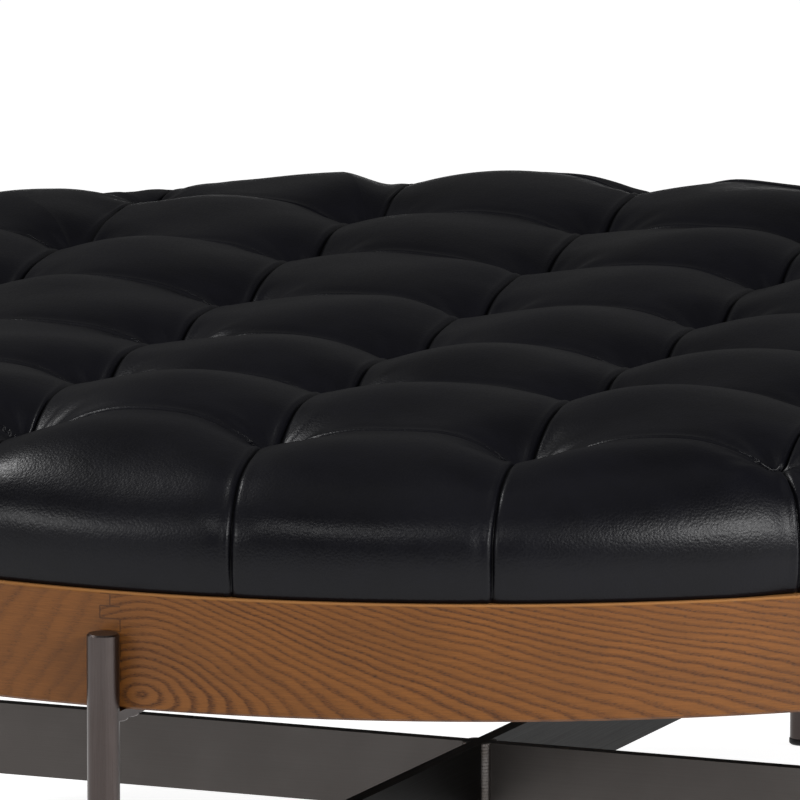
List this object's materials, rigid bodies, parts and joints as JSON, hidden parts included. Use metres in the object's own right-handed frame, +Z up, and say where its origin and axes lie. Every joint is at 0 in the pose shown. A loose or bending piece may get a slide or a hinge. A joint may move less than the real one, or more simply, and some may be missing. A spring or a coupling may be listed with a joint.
{
  "type": "ottoman coffee table",
  "caption": "Large round low table with a tufted leather cushion top on a wooden ring, carried by slim steel rods with a crossed flat-bar brace.",
  "frame": {"origin": "on the floor under the table's axis", "axes": "+Z up; the rods stand on the X and Y axes, and the brace's through bar runs along Y"},
  "size_m": [1.2176, 1.2176, 0.4103],
  "materials": {
    "leather": "smooth near-black aniline leather with a fine grain and a soft satin sheen",
    "foam": "upholstery foam",
    "plywood": "birch plywood, unfinished",
    "tape": "cotton pull tape",
    "dust_cloth": "black woven dust cloth",
    "weld_metal": "dressed weld bead",
    "ring_wood": "warm brown oiled ash, satin",
    "block_wood": "unfinished hardwood",
    "dark_steel": "gunmetal-finished steel, satin",
    "brace_steel": "gunmetal-finished flat bar, satin with fine brushing",
    "nylon": "black nylon"
  },
  "bodies": {
    "root": {"brace_half_bar_1": "brace_steel", "brace_half_bar_2": "brace_steel", "brace_through_bar": "brace_steel", "centre_welds": "weld_metal", "deck_block_1": "block_wood", "deck_block_2": "block_wood", "deck_block_3": "block_wood", "deck_block_4": "block_wood", "deck_block_5": "block_wood", "deck_block_6": "block_wood", "deck_block_7": "block_wood", "deck_block_8": "block_wood", "deck_panel": "plywood", "dust_cover": "dust_cloth", "foam_base": "foam", "foot_glides": "nylon", "leather_cover": "leather", "leg_rod_1": "dark_steel", "leg_rod_2": "dark_steel", "leg_rod_3": "dark_steel", "leg_rod_4": "dark_steel", "mounting_tab_1": "dark_steel", "mounting_tab_2": "dark_steel", "mounting_tab_3": "dark_steel", "mounting_tab_4": "dark_steel", "pull_tapes": "tape", "ring_segment_1": "ring_wood", "ring_segment_2": "ring_wood", "ring_segment_3": "ring_wood", "ring_segment_4": "ring_wood", "rod_welds": "weld_metal"}
  },
  "joints": []
}
